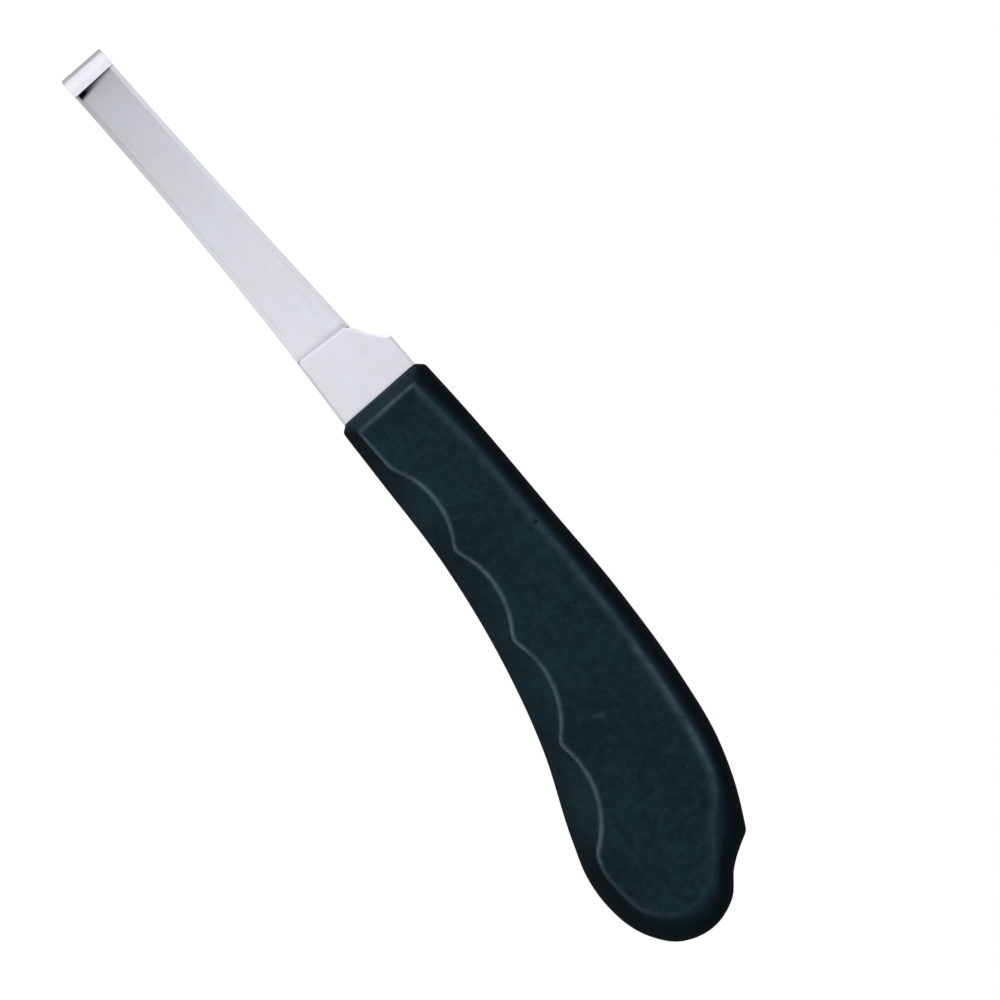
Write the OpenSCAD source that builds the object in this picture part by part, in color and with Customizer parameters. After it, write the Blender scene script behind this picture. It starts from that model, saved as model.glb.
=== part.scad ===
// Hoof knife: a hooked steel blade whose tang is held between the two moulded shells of a grip
// with finger scoops. Millimetres, +Z up.
// The origin is on the flat face that the grip lies on, under the line that the blade runs along.
// +X runs along the blade to its hook, and +Y is the side of the finger scoops.

/* [Grip] */
// Distance from the grip's mouth back to the origin
mouth_x = 63; // [55:1:70]
// Length of the grip, from its mouth to its butt
grip_len = 130.2; // [124:0.2:138]
// Thickness over both shells
grip_t = 19; // [18:0.5:22]
// Width of the chamfer round the mouth
mouth_chamfer = 3.2; // [2:0.1:3.6]
// Thickness of the wall under a shell's flat face
face_wall = 2.6; // [2.2:0.1:3]
// Thickness of the ribs inside the shells
rib_t = 1.8; // [1.4:0.1:2.4]

/* [Blade] */
// Reach of the blade from the mouth to the outermost line of its hook
blade_reach = 92.1; // [80:0.1:105]
// Thickness of the tang and the heel
tang_t = 3; // [2.4:0.1:3.4]
// Thickness of the blade where it leaves the heel
blade_root_t = 1.9; // [1.7:0.1:2.3]
// Thickness of the blade where the hook starts
blade_tip_t = 1.3; // [1.2:0.1:1.6]
// Radius of the blade's lengthwise bow
bow_r = 420; // [300:10:800]

/* [Hook] */
// Radius of the hook's middle surface at the finger edge
hook_r_finger = 4.4; // [4:0.1:5]
// Radius of the hook's middle surface at the spine edge
hook_r_spine = 4.2; // [3.6:0.1:4.6]
// Angle that the steel turns through
hook_turn = 170; // [150:1:185]

/* [Pins] */
// Diameter of the steel pins
pin_d = 4; // [3:0.5:5]
// Length of the pins
pin_len = 12.4; // [10:0.2:12.8]
// Outer diameter of the bosses that hold the pins
boss_d = 8.4; // [7.4:0.2:10]

/* [Hidden] */
steel = [0.78, 0.78, 0.77];
nylon = [0.1, 0.15, 0.17];
pin_steel = [0.6, 0.6, 0.62];
fit_gap = 0.05;               // between the tang and the shells
pin_gap = 0.02;               // between a pin and its bore, on the radius
cut = 1;                      // how far a cutting solid runs past the face that it cuts
half_t = grip_t / 2;
parting_z = half_t;           // height of the plane where the shells meet
$fn = 48;

function mix(a, b, t) = a + (b - a) * t;

// A solid through rings that have the same even number of points. Each end face is cut into
// strips, which join the points on one side of the ring to those on the other side.
module loft(rings) {
    n = len(rings[0]);
    last = (len(rings) - 1) * n;
    sides = [for (base = [0:n:last - n]) for (j = [0:n - 1])
        let (a = base + j, b = base + (j + 1) % n)
            each [[a, a + n, b + n], [a, b + n, b]]];
    strips = [
        [0, 1, n - 1],
        for (j = [1:n / 2 - 2]) each [[j, j + 1, n - j - 1], [j, n - j - 1, n - j]],
        [n / 2 - 1, n / 2, n / 2 + 1]
    ];
    far_strips = [for (s = strips) [last + s[2], last + s[1], last + s[0]]];
    polyhedron([for (ring = rings) each ring], concat(sides, strips, far_strips),
               convexity = 8);
}

// ---------------------------------------------------------------- outline of the grip
// Two closed outlines with matching points shape the grip. The rim is its silhouette, where the
// shells meet, and the panel is the edge of its flat face. The rows are their knots, in order
// round the grip, and each point is [distance behind the mouth, y] for a grip of drawn_len.
// smooth is [rim, panel], with 0 for a corner. scoop is how deep the panel's edge cuts in before
// the next knot, steps is the number of points up to there, and edge is the shape of the wall
// between rim and panel: 0 rounded, 1 a sharp edge over a hollowed wall, 2 a chamfer.
//   rim            panel           smooth  scoop steps edge
rows = [
    [[0, 8.3],       [3.2, 6.7],     [0, 0], 0,   2,  2],      // mouth's finger corner
    [[1.1, 9.7],     [3.6, 7.1],     [0, 0], 0,   4,  1],
    [[13.5, 10.45],  [13.5, 7.1],    [1, 0], 3.5, 9,  1],      // index finger's scoop
    [[34.6, 11.9],   [34.9, 8.5],    [1, 0], 3.4, 9,  1],
    [[56.2, 15.6],   [56.8, 11.7],   [1, 0], 3.9, 9,  1],
    [[78.6, 22.1],   [79.3, 18.6],   [1, 0], 4,   9,  1],      // little finger's scoop
    [[97, 30.1],     [101.6, 27.7],  [1, 1], 0,   3,  1],
    [[105, 32.9],    [105, 29],      [1, 1], 0,   3,  0.9],
    [[110.7, 33.6],  [109.5, 29.2],  [1, 1], 0,   4,  0.8],
    [[121.4, 31.8],  [117.7, 28],    [1, 1], 0,   4,  0.7],
    [[127.9, 26.9],  [122, 23.8],    [1, 1], 0,   4,  0.5],
    [[130.2, 19.6],  [123.4, 18.1],  [1, 1], 0,   4,  0.3],    // end of the butt
    [[128.2, 12.8],  [121.9, 13.4],  [1, 1], 0,   4,  0.2],
    [[123.6, 8.2],   [118.3, 9.2],   [1, 1], 0,   4,  0.2],
    [[119.5, 1.2],   [113.5, 5.2],   [0, 1], 0,   5,  0.2],    // tip of the beak
    [[110.5, -3.6],  [107.8, -0.5],  [1, 1], 0,   5,  0.1],
    [[100.5, -7.3],  [99.7, -3.6],   [1, 1], 0,   7,  0],
    [[85.5, -10.1],  [84.7, -6.3],   [1, 1], 0,   8,  0],
    [[65.5, -12],    [65.1, -8.3],   [1, 1], 0,   8,  0],
    [[40.5, -12.65], [40.3, -9.2],   [1, 1], 0,   8,  0],
    [[11.7, -13.1],  [11.7, -9.2],   [1, 1], 0,   5,  0],
    [[1.4, -12.9],   [3.6, -8.6],    [0, 0], 0,   2,  0.3],
    [[0, -11.4],     [3.2, -8.1],    [0, 0], 0,   4,  2],      // mouth's spine corner
];
RIM = 0;
PANEL = 1;
drawn_len = 130.2;
stretch = grip_len / drawn_len;
function row(i) = rows[(i + len(rows)) % len(rows)];
function knot(i, which) = let (p = row(i)[which]) [mouth_x - p.x * stretch, p.y];
function smooth(i, which) = row(i)[2][which] == 1;
function scoop(i) = row(i)[3];
function steps(i) = row(i)[4];
function edge(i) = row(i)[5];

// Direction of a smooth curve at b, on its way from a to c.
function heading(a, b, c) =
    let (p = norm(b - a), q = norm(c - b)) ((b - a) * q / p + (c - b) * p / q) / (p + q);
function hermite(b, c, leave, arrive, t) =
    b * (2 * t * t * t - 3 * t * t + 1) + c * (3 * t * t - 2 * t * t * t)
    + leave * (t * t * t - 2 * t * t + t) + arrive * (t * t * t - t * t);
// Point at t between knots i and i + 1, with a corner at a knot that isn't smooth.
function curve_point(i, which, t) =
    let (
        b = knot(i, which),
        c = knot(i + 1, which),
        q = norm(c - b),
        smooth_b = smooth(i, which),
        smooth_c = smooth(i + 1, which),
        at_b = heading(knot(i - 1, which), b, c) * q,
        at_c = heading(b, c, knot(i + 2, which)) * q,
        leave = smooth_b ? at_b : smooth_c ? (3 * (c - b) - at_c) / 2 : c - b,
        arrive = smooth_c ? at_c : smooth_b ? (3 * (c - b) - at_b) / 2 : c - b
    )
    hermite(b, c, leave, arrive, t);
// Point at t on an arc from b to c that bulges to the left of its way by depth.
function arc_point(b, c, depth, t) =
    let (
        half = norm(c - b) / 2,
        along = (c - b) / (2 * half),
        left = [-along.y, along.x],
        r = (half * half + depth * depth) / (2 * depth),
        a = asin(half / r) * (2 * t - 1)
    )
    (b + c) / 2 + along * r * sin(a) + left * (r * cos(a) - r + depth);
function outline_point(i, which, t) =
    which == PANEL && scoop(i) > 0 ? arc_point(knot(i, PANEL), knot(i + 1, PANEL), scoop(i), t)
                                   : curve_point(i, which, t);
// A column of the wall is [point on the rim, point on the panel, knot before it, share of the
// way to the next knot].
columns = [for (i = [0:len(rows) - 1]) for (k = [0:steps(i) - 1]) let (t = k / steps(i))
    [outline_point(i, RIM, t), outline_point(i, PANEL, t), i, t]];

// ---------------------------------------------------------------- wall of the grip
round_start = 0.3;            // height share where the rounded wall starts to turn in
draft = 0.08;                 // lean of the rounded wall below that
hollow = 1.5;                 // over 1, the wall under a scoop steepens towards the rim
levels = [0, 0.15, 0.3, 0.45, 0.58, 0.7, 0.8, 0.88, 0.94, 0.98, 1];

// Share of the way in from rim to panel at height share t, for the three kinds of edge.
function rounded(t) =
    let (u = max(0, (t - round_start) / (1 - round_start)))
    draft * t + (1 - draft) * (1 - sqrt(max(0, 1 - u * u)));
function chamfered(t) = max(0, 1 - (1 - t) * half_t / mouth_chamfer);
function way_in(kind, t) =
    kind > 1 ? chamfered(t) : mix(rounded(t), pow(t, hollow), kind);
function column_way_in(c, t) = mix(way_in(edge(c[2]), t), way_in(edge(c[2] + 1), t), c[3]);
// The wall's ring at height share t, moved in by a further share.
function wall_ring(t, further, z) =
    [for (c = columns) let (p = mix(c[RIM], c[PANEL], column_way_in(c, t) + further))
        [p.x, p.y, z]];

// ---------------------------------------------------------------- blade
// The blade is drawn as a flat blank, whose points are [way along, y], and then bent. The way
// along is below 0 behind the shoulder, in millimetres, then 0 to 1 over the bow and 1 to 2
// round the hook.
shoulder_x = mouth_x + 16.7;
tip_x = mouth_x + blade_reach;
tang_half = tang_t / 2;
edge_t = 0.35;                // thickness left at the cutting edges
bevel_w = 1.1;                // width of their bevels
heel_bevel = [0.7, 0.25];     // width and depth of the heel's bevels
back_chamfer = 0.2;           // on the edges of the underside
tip_half_w = 5.25;
root_w = [6.2, 7.2];          // from the centreline to the spine and finger edges, at the root
flare = [1.8, 2.4];           // how quickly the two edges widen towards the root

function hook_r(y) =
    mix(hook_r_spine, hook_r_finger, (y + tip_half_w) / (2 * tip_half_w));
// Angle of the bow where the hook starts, set so that the hook's outermost line is straight.
function bow_end(y) =
    let (r = hook_r(y)) asin((tip_x - blade_tip_t / 2 - r - shoulder_x) / (bow_r - r));
// A point of the blank, lifted off the middle surface by lift and bent.
function bend(w, y, lift) =
    let (
        r = hook_r(y),
        a = bow_end(y),
        bow_centre = [shoulder_x, parting_z + bow_r],
        hook_centre = bow_centre + [sin(a), -cos(a)] * (bow_r - r),
        turned = a * min(w, 1) + hook_turn * max(w - 1, 0),
        outward = [sin(turned), -cos(turned)],
        p = w < 0 ? [shoulder_x + w, parting_z + lift]
          : w < 1 ? bow_centre + outward * (bow_r - lift)
          : hook_centre + outward * (r - lift)
    )
    [p.x, y, p.y];
// A ring of the blade between a point on the spine edge and one on the finger edge of the
// blank, with so much steel above and below the middle surface.
function blade_ring(spine, finger, above, below, bevel) =
    let (
        w = finger.y - spine.y,
        back = back_chamfer,
        section = [[back, -below], [w - back, -below], [w, back - below],
                   [w, above - bevel[1]], [w - bevel[0], above], [bevel[0], above],
                   [0, above - bevel[1]], [0, back - below]]
    )
    [for (s = section) let (p = mix(spine, finger, s[0] / w)) bend(p.x, p.y, s[1])];
function tang_ring(x, spine_y, finger_y) =
    blade_ring([x - shoulder_x, spine_y], [x - shoulder_x, finger_y], tang_half, tang_half,
               heel_bevel);

// Tang, from its rounded end to the heel's shoulders inside the mouth.
tang_len = 66;
tang_end_r = 4.6;
tang_end_y = 0.8;
neck = [mouth_x - 9, -1, 6.2];        // x, middle and half width where the tang is widest
heel_back_x = mouth_x - 5.5;
heel_spine_y = -11.3;
heel_finger_y = 8.4;
heel_back_chamfer = [0.3, 0.4];       // along and across, on the heel's shoulders
tang_end_x = mouth_x - tang_len;
tang_rings = [
    for (a = [10:20:90]) let (half = tang_end_r * sin(a))
        tang_ring(tang_end_x + tang_end_r * (1 - cos(a)), tang_end_y - half, tang_end_y + half),
    tang_ring(neck.x, neck.y - neck.z, neck.y + neck.z),
    tang_ring(heel_back_x - heel_back_chamfer.x, heel_spine_y + heel_back_chamfer.y,
              heel_finger_y - heel_back_chamfer.y),
    tang_ring(heel_back_x, heel_spine_y, heel_finger_y)
];

// Heel outside the mouth. Its spine edge runs straight, turns a rounded corner and sweeps up to
// the shoulder, while its finger edge narrows evenly.
corner_at = -9.2;             // way along at the rounded corner
corner_r = 0.9;
corner_swell = 0.15;          // how far the edge stands out where the corner starts
sweep_start = [-8.4, -10.95];
sweep_end = [-1.9, -root_w[0]];
sweep_depth = 0.35;
shoulder_skew = 1.2;          // how much further the shoulder lies along the finger edge
shoulder_run = 0.7;           // length of the slope down to the blade
function heel_finger(w) =
    [w, mix(root_w[1], heel_finger_y, min(1, -w / (shoulder_x - mouth_x)))];
heel_spine = [
    [mouth_x - shoulder_x, heel_spine_y],
    for (a = [0:30:60])
        [corner_at + corner_r * sin(a),
         heel_spine_y - corner_swell + corner_r * (1 - cos(a))],
    for (t = [0.1:0.15:1]) arc_point(sweep_start, sweep_end, sweep_depth, t)
];
heel_rings = [
    for (p = heel_spine) blade_ring(p, heel_finger(p.x), tang_half, tang_half, heel_bevel),
    blade_ring(sweep_end, heel_finger(-shoulder_run), tang_half, tang_half, heel_bevel)
];

// Blade from the shoulder to the hook, and the hook with its sharpened lip.
bow_steps = 16;
hook_steps = 20;
lip = 0.09;                   // share of the hook's turn that is ground to an edge
lip_bevel = 0.1;              // depth of the bevels that are left at its end
function flared(root, power, w) = mix(tip_half_w, root, pow(max(0, 1 - w), power));
function cutting_ring(w, t, ground) =
    let (above = t / 2 - ground)
    blade_ring([w, -flared(root_w[0], flare[0], w)], [w, flared(root_w[1], flare[1], w)],
               above, t / 2, [bevel_w, above + t / 2 - back_chamfer - edge_t]);
root_bevel = [bevel_w, blade_root_t - back_chamfer - edge_t];
blade_rings = [
    blade_ring([-shoulder_skew, -root_w[0]], [0, root_w[1]], blade_root_t / 2,
               blade_root_t / 2, root_bevel),
    for (k = [1:bow_steps]) let (w = k / bow_steps)
        cutting_ring(w, mix(blade_root_t, blade_tip_t, w), 0),
    for (k = [1:hook_steps]) cutting_ring(1 + (1 - lip) * k / hook_steps, blade_tip_t, 0),
    cutting_ring(2, blade_tip_t, blade_tip_t - edge_t - back_chamfer - lip_bevel)
];

// ---------------------------------------------------------------- pins
front_pin = [mouth_x - 17, -1];
rear_pin = [mouth_x - 53, 0.5];
tail_pin = [mouth_x - 103, 13];
pins = [front_pin, rear_pin, tail_pin];
pin_chamfer = 0.5;
end_gap = 0.1;                // between a pin's end and the bottom of its bore

module pin_at(p) {
    r = pin_d / 2;
    half = pin_len / 2;
    translate([p.x, p.y, parting_z]) rotate_extrude()
        polygon([[0, -half], [r - pin_chamfer, -half], [r, pin_chamfer - half],
                 [r, half - pin_chamfer], [r - pin_chamfer, half], [0, half]]);
}

// ---------------------------------------------------------------- shells
// The inside of a shell is one hollow with a tapered wall. Ribs cross it, join its bosses and
// meet the other shell's ribs at the parting plane.
wall_share = 0.7;             // wall thickness as a share of the way in from rim to panel
mouth_wall = 5;               // thickness of the wall that the heel passes through
cross_ribs = [35, 70, 87, 117];       // distances behind the mouth
rib_ends = [-30, 45];         // y of a cross rib's ends, which the wall cuts off
hollow_levels = [0, 0.35, 0.55, 1 - face_wall / half_t];
butt_end = [mouth_x - grip_len + 2, 18];

module rib(from, to) {
    way = to - from;
    translate([from.x, from.y, -cut]) rotate([0, 0, atan2(way.y, way.x)])
        translate([0, -rib_t / 2, 0]) cube([norm(way), rib_t, half_t]);
}
module rib_across(x) {
    rib([x, rib_ends[0]], [x, rib_ends[1]]);
}
module hollow_space() {
    difference() {
        loft([for (t = hollow_levels) wall_ring(t, wall_share, t == 0 ? -cut : t * half_t)]);
        translate([mouth_x - mouth_wall, -grip_len / 2, -2 * cut])
            cube([2 * mouth_wall, grip_len, 2 * half_t]);
        for (d = cross_ribs) rib_across(mouth_x - d);
        for (p = pins) {
            rib_across(p.x);
            translate([p.x, p.y, -2 * cut]) cylinder(h = 2 * half_t, d = boss_d);
        }
        rib([mouth_x, -1], front_pin);
        rib(front_pin, rear_pin);
        rib(rear_pin, tail_pin);
        rib(tail_pin, butt_end);
    }
}
// Room for the tang and the heel. Points 7 and 2 of a ring are on its spine and finger edges.
module tang_pocket() {
    spine_side = [for (r = tang_rings) [r[7].x, r[7].y]];
    finger_side = [for (k = [len(tang_rings) - 1:-1:0]) [tang_rings[k][2].x, tang_rings[k][2].y]];
    through_mouth = [[mouth_x + cut, heel_spine_y], [mouth_x + cut, heel_finger_y]];
    translate([0, 0, -cut]) linear_extrude(tang_half + fit_gap + cut) offset(delta = fit_gap)
        polygon(concat(spine_side, through_mouth, finger_side));
}
// A shell with its rim on z = 0 and its flat face up.
module shell() {
    difference() {
        loft([for (t = levels) wall_ring(t, 0, t * half_t)]);
        hollow_space();
        tang_pocket();
        for (p = pins) translate([p.x, p.y, -cut])
            cylinder(h = pin_len / 2 + cut + end_gap, r = pin_d / 2 + pin_gap);
    }
}

// ---------------------------------------------------------------- nodes
module blade() {
    color(steel) difference() {
        loft(concat(tang_rings, heel_rings, blade_rings));
        for (p = [front_pin, rear_pin]) translate([p.x, p.y, 0])
            cylinder(h = 2 * parting_z, r = pin_d / 2 + pin_gap);
    }
}
module handle_top_shell() {
    color(nylon) translate([0, 0, parting_z]) shell();
}
module handle_bottom_shell() {
    color(nylon) translate([0, 0, parting_z]) mirror([0, 0, 1]) shell();
}
module tang_pin_front() {
    color(pin_steel) pin_at(front_pin);
}
module tang_pin_rear() {
    color(pin_steel) pin_at(rear_pin);
}
module tail_dowel() {
    color(pin_steel) pin_at(tail_pin);
}

blade();
handle_top_shell();
handle_bottom_shell();
tang_pin_front();
tang_pin_rear();
tail_dowel();
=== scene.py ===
"""Looks of the hoof knife: a hooked satin-steel blade in a moulded grip of two nylon shells.

The outline, the wall and the blade follow the CAD model's own formulas, in millimetres, with
far finer rings, rounded creases and a seam. Meshes are scaled to metres when they are made.
"""

import math

import bpy
import numpy as np
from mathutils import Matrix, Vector


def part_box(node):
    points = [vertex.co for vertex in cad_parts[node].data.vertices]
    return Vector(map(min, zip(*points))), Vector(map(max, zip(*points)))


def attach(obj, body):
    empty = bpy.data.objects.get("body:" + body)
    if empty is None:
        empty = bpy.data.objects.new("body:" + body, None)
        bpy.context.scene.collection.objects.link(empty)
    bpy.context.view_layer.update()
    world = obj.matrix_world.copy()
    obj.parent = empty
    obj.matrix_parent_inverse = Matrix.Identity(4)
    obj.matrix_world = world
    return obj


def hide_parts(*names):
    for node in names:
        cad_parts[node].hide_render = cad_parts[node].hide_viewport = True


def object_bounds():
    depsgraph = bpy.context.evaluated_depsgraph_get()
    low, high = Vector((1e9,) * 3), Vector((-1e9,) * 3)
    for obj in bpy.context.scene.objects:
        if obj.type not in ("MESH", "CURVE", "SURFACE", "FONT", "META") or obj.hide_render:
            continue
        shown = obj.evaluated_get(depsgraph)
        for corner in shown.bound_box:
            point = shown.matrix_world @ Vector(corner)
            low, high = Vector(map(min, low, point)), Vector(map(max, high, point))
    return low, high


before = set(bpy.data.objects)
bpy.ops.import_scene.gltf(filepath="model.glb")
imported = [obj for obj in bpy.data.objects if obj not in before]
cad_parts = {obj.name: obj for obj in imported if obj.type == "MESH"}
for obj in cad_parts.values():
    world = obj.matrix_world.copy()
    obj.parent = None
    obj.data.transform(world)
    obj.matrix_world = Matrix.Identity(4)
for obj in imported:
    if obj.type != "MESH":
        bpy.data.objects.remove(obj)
cad_low, cad_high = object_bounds()

MM = 0.001


def box_mm(node):
    """Lowest and highest corner of a CAD node, in millimetres."""
    return [np.array(corner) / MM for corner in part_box(node)]


shell_low, shell_high = box_mm("handle_top_shell")
MOUTH_X = shell_high[0]
PARTING_Z = shell_low[2]
HALF_T = shell_high[2] - PARTING_Z
TIP_X = box_mm("blade")[1][0]
FIT_GAP = 0.05           # between the tang and the shells
PIN_GAP = 0.02           # between a pin and its bore, on the radius
TANG_PINS = ("tang_pin_front", "tang_pin_rear")
TAIL_DOWEL = "tail_dowel"


# ---------------------------------------------------------------- meshes
def mesh_object(name, points, faces):
    """A mesh object from points in millimetres."""
    mesh = bpy.data.meshes.new(name)
    mesh.from_pydata((np.asarray(points, float) * MM).tolist(), [], faces)
    mesh.validate()
    obj = bpy.data.objects.new(name, mesh)
    bpy.context.scene.collection.objects.link(obj)
    return obj


def loft(name, rings):
    """A closed solid through rings with the same number of points, capped at both ends."""
    count = len(rings[0])
    last = (len(rings) - 1) * count
    faces = [
        (base + j, base + (j + 1) % count, base + count + (j + 1) % count, base + count + j)
        for base in range(0, last, count)
        for j in range(count)
    ]
    faces.append(tuple(reversed(range(count))))
    faces.append(tuple(range(last, last + count)))
    return mesh_object(name, np.concatenate(rings), faces)


def cut_out(obj, cutters):
    """Subtracts the cutters from obj for good, and removes them."""
    for cutter in cutters:
        modifier = obj.modifiers.new("cut", "BOOLEAN")
        modifier.operation = "DIFFERENCE"
        modifier.solver = "MANIFOLD"
        modifier.object = cutter
    evaluated = obj.evaluated_get(bpy.context.evaluated_depsgraph_get())
    mesh = bpy.data.meshes.new_from_object(evaluated)
    obj.modifiers.clear()
    obj.data = mesh
    for cutter in cutters:
        bpy.data.objects.remove(cutter)


def smooth(obj, angle):
    """Smooth shading across edges under that angle, led by the larger faces."""
    obj.data.shade_smooth()
    obj.data.set_sharp_from_angle(angle=math.radians(angle))
    modifier = obj.modifiers.new("normals", "WEIGHTED_NORMAL")
    modifier.keep_sharp = True


def mix(a, b, t):
    return a + (b - a) * t


def soften(values, passes, closed):
    """Rounds the corners of a row of evenly spaced points, along the first axis."""
    for _ in range(passes):
        before, after = np.roll(values, 1, 0), np.roll(values, -1, 0)
        rounded = (before + 2 * values + after) / 4
        if not closed:
            rounded[0], rounded[-1] = values[0], values[-1]
        values = rounded
    return values


# ---------------------------------------------------------------- outline of the grip
# The knots of the rim and of the flat panel's edge, in order round the grip, each point being
# (distance behind the mouth, y). Then which of the two are smooth there, how deep the panel's
# edge is scooped before the next knot, the number of steps up to there, and the edge's shape:
# 0 rounded, 1 a crease over a hollowed wall, 2 a chamfer. The last is how strong the edge's wear
# and painted highlight are.
ROWS = [
    ((0, 8.3), (3.2, 6.7), (0, 0), 0, 2, 2, 0.9),          # mouth's finger corner
    ((1.1, 9.7), (3.6, 7.1), (0, 0), 0, 4, 1, 1),
    ((13.5, 10.45), (13.5, 7.1), (1, 0), 3.5, 9, 1, 0.85),  # index finger's scoop
    ((34.6, 11.9), (34.9, 8.5), (1, 0), 3.4, 9, 1, 0.85),
    ((56.2, 15.6), (56.8, 11.7), (1, 0), 3.9, 9, 1, 0.95),
    ((78.6, 22.1), (79.3, 18.6), (1, 0), 4, 9, 1, 0.9),    # little finger's scoop
    ((97, 30.1), (101.6, 27.7), (1, 1), 0, 3, 1, 0.8),
    ((105, 32.9), (105, 29), (1, 1), 0, 3, 0.9, 0.5),
    ((110.7, 33.6), (109.5, 29.2), (1, 1), 0, 4, 0.8, 0.3),
    ((121.4, 31.8), (117.7, 28), (1, 1), 0, 4, 0.7, 0.15),
    ((127.9, 26.9), (122, 23.8), (1, 1), 0, 4, 0.5, 0.08),
    ((130.2, 19.6), (123.4, 18.1), (1, 1), 0, 4, 0.3, 0.07),  # end of the butt
    ((128.2, 12.8), (121.9, 13.4), (1, 1), 0, 4, 0.2, 0.07),
    ((123.6, 8.2), (118.3, 9.2), (1, 1), 0, 4, 0.2, 0.1),
    ((119.5, 1.2), (113.5, 5.2), (0, 1), 0, 5, 0.2, 0.15),    # tip of the beak
    ((110.5, -3.6), (107.8, -0.5), (1, 1), 0, 5, 0.1, 0.32),
    ((100.5, -7.3), (99.7, -3.6), (1, 1), 0, 7, 0, 0.6),
    ((85.5, -10.1), (84.7, -6.3), (1, 1), 0, 8, 0, 0.55),
    ((65.5, -12), (65.1, -8.3), (1, 1), 0, 8, 0, 0.4),
    ((40.5, -12.65), (40.3, -9.2), (1, 1), 0, 8, 0, 0.25),
    ((11.7, -13.1), (11.7, -9.2), (1, 1), 0, 5, 0, 0.26),
    ((1.4, -12.9), (3.6, -8.6), (0, 0), 0, 2, 0.3, 0.35),
    ((0, -11.4), (3.2, -8.1), (0, 0), 0, 4, 2, 0.9),         # mouth's spine corner
]
RIM, PANEL = 0, 1
FINER = 3                # steps here for each step of the CAD model


def row(i):
    return ROWS[i % len(ROWS)]


def knot(i, which):
    behind, y = row(i)[which]
    return np.array([MOUTH_X - behind, y])


def heading(a, b, c):
    """Direction of a smooth curve at b, on its way from a to c."""
    p, q = np.linalg.norm(b - a), np.linalg.norm(c - b)
    return ((b - a) * q / p + (c - b) * p / q) / (p + q)


def hermite(b, c, leave, arrive, t):
    return (
        b * (2 * t**3 - 3 * t**2 + 1)
        + c * (3 * t**2 - 2 * t**3)
        + leave * (t**3 - 2 * t**2 + t)
        + arrive * (t**3 - t**2)
    )


def curve_point(i, which, t):
    """Point at t between knots i and i + 1, with a corner at a knot that isn't smooth."""
    b, c = knot(i, which), knot(i + 1, which)
    q = np.linalg.norm(c - b)
    smooth_b, smooth_c = row(i)[2][which], row(i + 1)[2][which]
    at_b = heading(knot(i - 1, which), b, c) * q
    at_c = heading(b, c, knot(i + 2, which)) * q
    leave = at_b if smooth_b else (3 * (c - b) - at_c) / 2 if smooth_c else c - b
    arrive = at_c if smooth_c else (3 * (c - b) - at_b) / 2 if smooth_b else c - b
    return hermite(b, c, leave, arrive, t)


def arc_point(b, c, depth, t):
    """Point at t on an arc from b to c that bulges to the left of its way by depth."""
    b, c = np.array(b, float), np.array(c, float)
    half = np.linalg.norm(c - b) / 2
    along = (c - b) / (2 * half)
    left = np.array([-along[1], along[0]])
    r = (half**2 + depth**2) / (2 * depth)
    a = math.asin(half / r) * (2 * t - 1)
    return (b + c) / 2 + along * r * math.sin(a) + left * (r * math.cos(a) - r + depth)


def outline_point(i, which, t):
    scoop = row(i)[3]
    if which == PANEL and scoop > 0:
        return arc_point(knot(i, PANEL), knot(i + 1, PANEL), scoop, t)
    return curve_point(i, which, t)


def outline():
    """Points of the rim, points of the panel's edge, the edge's shape, how strong its wear and
    painted highlight are, and 1 at a finger scoop, a column each."""
    rim, panel, edge, worn_and_lit, scooped = [], [], [], [], []
    for i in range(len(ROWS)):
        steps = row(i)[4] * FINER
        for k in range(steps):
            t = k / steps
            rim.append(outline_point(i, RIM, t))
            panel.append(outline_point(i, PANEL, t))
            edge.append((row(i)[5], row(i + 1)[5], t))
            worn_and_lit.append(mix(row(i)[6], row(i + 1)[6], t))
            scooped.append(min(row(i)[3], 1.0))
    corner_passes, cusp_passes, blur_passes = 1, 3, 70
    rim = soften(np.array(rim), corner_passes, closed=True)
    panel = soften(np.array(panel), cusp_passes, closed=True)
    return rim, panel, edge, worn_and_lit, soften(np.array(scooped), blur_passes, closed=True)


# ---------------------------------------------------------------- wall of the grip
ROUND_START = 0.3        # height share where the rounded wall starts to turn in
DRAFT = 0.08             # lean of the rounded wall below that
HOLLOW = 1.5             # over 1, the wall under a scoop steepens towards the rim
MOUTH_CHAMFER = 3.2
WALL_RINGS = 60
LEAN_POINTS, TURN_POINTS = 9, 40  # where the wall is drawn before it turns in, and from there
SEAM = 0.16              # depth and half width of the seam's groove
EDGE_PASSES = (4, 5, 2)  # how often the panel's edge is rounded: rounded, crease and chamfer
# At some shapes of the edge: how far the wall's rings run in over the flat panel, how far inside
# its edge the wear and painted highlight are strongest, and how far they reach from there inwards
# and outwards
SHAPES = (0, 0.25, 0.35, 0.7, 1, 2)
MARGIN = (2.4, 2.4, 1.1, 1.1, 1.1, 1.1)
WEAR_AND_HIGHLIGHT_AT = (0.5, 0.5, 0.3, 0.2, 0.05, 0)
WEAR_AND_HIGHLIGHT_IN = (1.9, 1.9, 0.8, 0.8, 1, 1)
WEAR_AND_HIGHLIGHT_OUT = (0.9, 0.9, 0.8, 0.9, 0.9, 0.9)
# Painted light all over the wall below the edge, at the same shapes
WALL_PAINTED_LIGHT = (0, 0, 0, 0, 0, 0.07)
# Painted light all over the wall of a finger scoop
SCOOP_PAINTED_LIGHT = 0.04        # all over the wall of a finger scoop
# Painted highlight with some wear along the chamfer's outer edge:
MOUTH_EDGE = (-4.4, 0.7, 0.3)    # where the chamfer's outer edge is, its wear's reach and strength


def rounded_wall(t):
    u = np.clip((t - ROUND_START) / (1 - ROUND_START), 0, 1)
    return DRAFT * t + (1 - DRAFT) * (1 - np.sqrt(1 - u * u))


def way_in(kind, t):
    """Share of the way in from rim to panel at height share t."""
    if kind > 1:
        return np.maximum(0, 1 - (1 - t) * HALF_T / MOUTH_CHAMFER)
    return mix(rounded_wall(t), t**HOLLOW, kind)


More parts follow.
